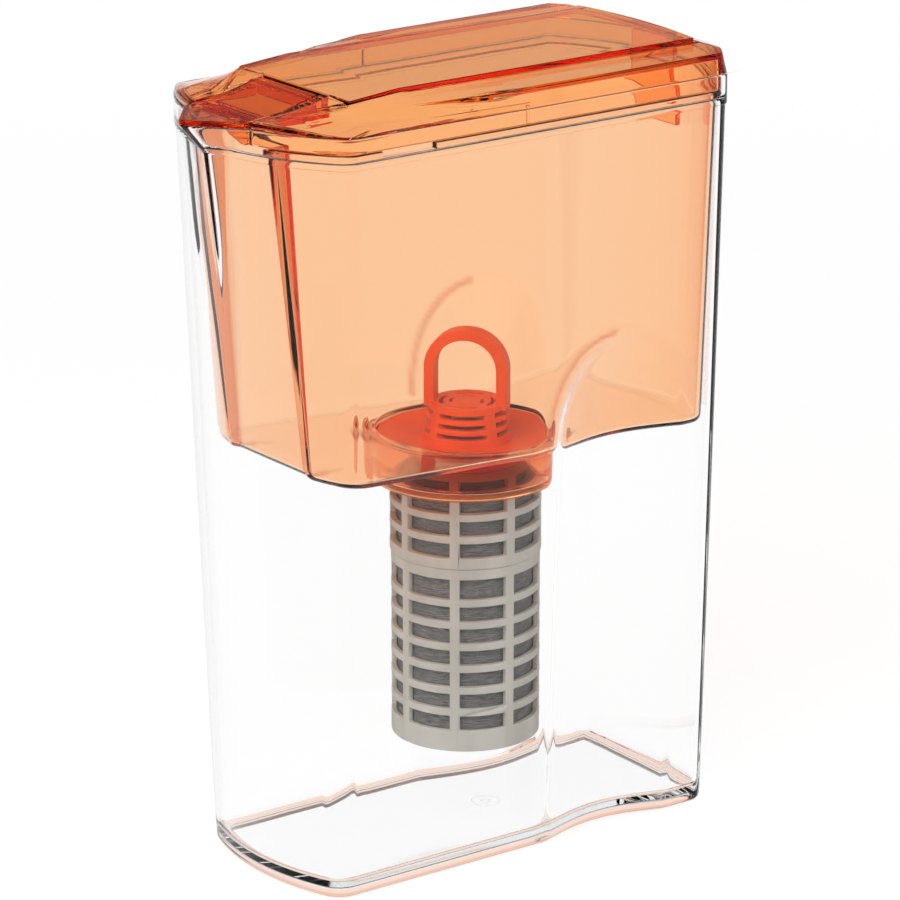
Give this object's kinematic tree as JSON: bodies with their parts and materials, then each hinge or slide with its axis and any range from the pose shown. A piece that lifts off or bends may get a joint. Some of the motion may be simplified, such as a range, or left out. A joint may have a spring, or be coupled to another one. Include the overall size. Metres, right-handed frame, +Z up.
{
  "type": "water filter pitcher",
  "caption": "Slim fridge-door water filter pitcher: clear jug, orange hanging reservoir, lid with spout flap, and a caged filter cartridge with a loop handle.",
  "frame": {"origin": "centre of the bounding box on the plane that the jug stands on", "axes": "+Z up, -X towards the spout, +X towards the grip end, Y across the slim width"},
  "size_m": [0.2034, 0.099, 0.2727],
  "materials": {
    "clear_plastic": "clear, moulded, polished",
    "orange_clear": "transparent orange, moulded, polished",
    "orange_solid": "opaque orange, satin",
    "cage_grey": "light grey, moulded",
    "felt_grey": "pressed fibres",
    "carbon": "sintered, porous",
    "fleece_white": "non-woven",
    "inner_white": "moulded",
    "seal_rubber": "smooth"
  },
  "bodies": {
    "jug": {"jug_body": "clear_plastic"},
    "reservoir_unit": {"reservoir": "orange_clear"},
    "lid_unit": {"lid": "orange_clear", "flap_pin": "orange_clear"},
    "flap": {"spout_flap": "orange_clear"},
    "cartridge": {"cartridge_cap": "orange_solid", "inlet_screen": "inner_white", "socket_seal": "seal_rubber", "cap_gasket": "seal_rubber", "upper_cage": "cage_grey", "lower_cage": "cage_grey", "felt_wrap": "felt_grey", "carbon_block": "carbon", "core_sleeve": "fleece_white", "core_tube": "inner_white", "top_end_ring": "inner_white", "bottom_end_cap": "inner_white"}
  },
  "joints": [
    {"name": "reservoir_lift", "type": "slide", "parent": "jug", "child": "reservoir_unit", "axis": [0, 0, 1], "range_m": [0, 0.245]},
    {"name": "lid_lift", "type": "slide", "parent": "reservoir_unit", "child": "lid_unit", "axis": [0, 0, 1], "range_m": [0, 0.06]},
    {"name": "flap_hinge", "type": "hinge", "parent": "lid_unit", "child": "flap", "pos_m": [-0.0614, 0, 0.2684], "axis": [0, 1, 0], "range_deg": [0, 80]},
    {"name": "cartridge_lift", "type": "slide", "parent": "reservoir_unit", "child": "cartridge", "axis": [0, 0, 1], "range_m": [0, 0.07]}
  ]
}
